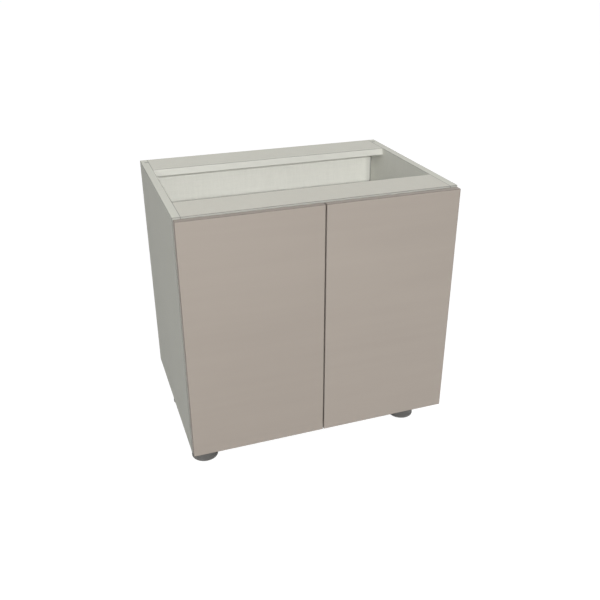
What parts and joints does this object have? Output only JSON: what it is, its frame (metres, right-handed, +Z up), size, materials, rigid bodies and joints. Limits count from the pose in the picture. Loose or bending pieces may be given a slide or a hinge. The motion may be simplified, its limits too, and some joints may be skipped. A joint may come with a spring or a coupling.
{
  "type": "sink base cabinet",
  "caption": "Open-topped sink base cabinet: flat rails over a board carcass, inset back, plain handleless doors on concealed hinges, push latches and adjustable round feet.",
  "frame": {"origin": "on the floor, in the middle of the footprint with the doors closed", "axes": "+X to the right seen from the front, -Y out of the front, +Z up"},
  "size_m": [0.8, 0.582, 0.835],
  "materials": {
    "carcass_board": "matt light grey melamine, fine pore",
    "back_board": "matt light grey, fine woven texture",
    "edge_band": "matt light grey edge band",
    "door_board": "matt taupe, plain",
    "dowel_wood": "raw beech",
    "fitting_steel": "zinc plated",
    "cam_zinc": "die cast, dull",
    "hinge_steel": "nickel plated",
    "bumper_rubber": "soft, translucent grey",
    "latch_plastic": "matt grey",
    "plunger_plastic": "matt dark grey",
    "leg_plastic": "matt dark grey",
    "foot_plastic": "matt dark grey"
  },
  "bodies": {
    "cabinet": {"left_side": "carcass_board", "right_side": "carcass_board", "bottom_panel": "carcass_board", "front_rail": "carcass_board", "rear_rail": "carcass_board", "back_panel": "back_board", "left_side_band": "edge_band", "right_side_band": "edge_band", "bottom_band": "edge_band", "front_rail_front_band": "edge_band", "front_rail_rear_band": "edge_band", "rear_rail_band": "edge_band", "dowels": "dowel_wood", "cam_bolts": "fitting_steel", "cam_locks": "cam_zinc", "left_lower_hinge_plate": "hinge_steel", "left_lower_hinge_arm": "hinge_steel", "left_upper_hinge_plate": "hinge_steel", "left_upper_hinge_arm": "hinge_steel", "right_lower_hinge_plate": "hinge_steel", "right_lower_hinge_arm": "hinge_steel", "right_upper_hinge_plate": "hinge_steel", "right_upper_hinge_arm": "hinge_steel", "hinge_arm_pins": "fitting_steel", "hinge_plate_screws": "fitting_steel", "hinge_arm_screws": "fitting_steel", "latch_screws": "fitting_steel", "leg_socket_screws": "fitting_steel", "left_latch_housing": "latch_plastic", "right_latch_housing": "latch_plastic", "leg_sockets": "leg_plastic", "front_left_leg_tube": "leg_plastic", "front_right_leg_tube": "leg_plastic", "rear_left_leg_tube": "leg_plastic", "rear_right_leg_tube": "leg_plastic"},
    "left_door": {"left_door": "door_board", "left_door_bumpers": "bumper_rubber", "left_strike_plate": "fitting_steel", "left_lower_hinge_cup": "hinge_steel", "left_upper_hinge_cup": "hinge_steel", "left_hinge_cup_screws": "fitting_steel"},
    "left_hinge_links": {"left_lower_hinge_link": "hinge_steel", "left_upper_hinge_link": "hinge_steel", "left_hinge_cup_pins": "fitting_steel"},
    "left_latch_plunger": {"left_latch_plunger": "plunger_plastic"},
    "right_door": {"right_door": "door_board", "right_door_bumpers": "bumper_rubber", "right_strike_plate": "fitting_steel", "right_lower_hinge_cup": "hinge_steel", "right_upper_hinge_cup": "hinge_steel", "right_hinge_cup_screws": "fitting_steel"},
    "right_hinge_links": {"right_lower_hinge_link": "hinge_steel", "right_upper_hinge_link": "hinge_steel", "right_hinge_cup_pins": "fitting_steel"},
    "right_latch_plunger": {"right_latch_plunger": "plunger_plastic"},
    "front_left_foot": {"front_left_foot": "foot_plastic"},
    "front_right_foot": {"front_right_foot": "foot_plastic"},
    "rear_left_foot": {"rear_left_foot": "foot_plastic"},
    "rear_right_foot": {"rear_right_foot": "foot_plastic"}
  },
  "joints": [
    {"name": "left_door_swing", "type": "hinge", "parent": "cabinet", "child": "left_door", "pos_m": [-0.3898, -0.28285, 0.473], "axis": [0, 0, -1], "range_deg": [0, 105]},
    {"name": "right_door_swing", "type": "hinge", "parent": "cabinet", "child": "right_door", "pos_m": [0.3898, -0.28285, 0.473], "axis": [0, 0, 1], "range_deg": [0, 105]},
    {"name": "left_hinge_link_swing", "type": "hinge", "parent": "cabinet", "child": "left_hinge_links", "pos_m": [-0.3603, -0.2575, 0.473], "axis": [0, 0, -1], "range_deg": [-6.3, 0]},
    {"name": "right_hinge_link_swing", "type": "hinge", "parent": "cabinet", "child": "right_hinge_links", "pos_m": [0.3603, -0.2575, 0.473], "axis": [0, 0, 1], "range_deg": [-6.3, 0]},
    {"name": "left_latch_plunger_slide", "type": "slide", "parent": "cabinet", "child": "left_latch_plunger", "axis": [0, 1, 0], "range_m": [-0.037, 0]},
    {"name": "right_latch_plunger_slide", "type": "slide", "parent": "cabinet", "child": "right_latch_plunger", "axis": [0, 1, 0], "range_m": [-0.037, 0]},
    {"name": "front_left_foot_height", "type": "slide", "parent": "cabinet", "child": "front_left_foot", "axis": [0, 0, 1], "range_m": [-0.01, 0.02]},
    {"name": "front_right_foot_height", "type": "slide", "parent": "cabinet", "child": "front_right_foot", "axis": [0, 0, 1], "range_m": [-0.01, 0.02]},
    {"name": "rear_left_foot_height", "type": "slide", "parent": "cabinet", "child": "rear_left_foot", "axis": [0, 0, 1], "range_m": [-0.01, 0.02]},
    {"name": "rear_right_foot_height", "type": "slide", "parent": "cabinet", "child": "rear_right_foot", "axis": [0, 0, 1], "range_m": [-0.01, 0.02]}
  ],
  "couplings": [
    {"joint": "left_hinge_link_swing", "follows": "left_door_swing", "ratio": -0.06},
    {"joint": "right_hinge_link_swing", "follows": "right_door_swing", "ratio": -0.06},
    {"joint": "left_latch_plunger_slide", "follows": "left_door_swing", "m_per_rad": -0.020189},
    {"joint": "right_latch_plunger_slide", "follows": "right_door_swing", "m_per_rad": -0.020189}
  ]
}
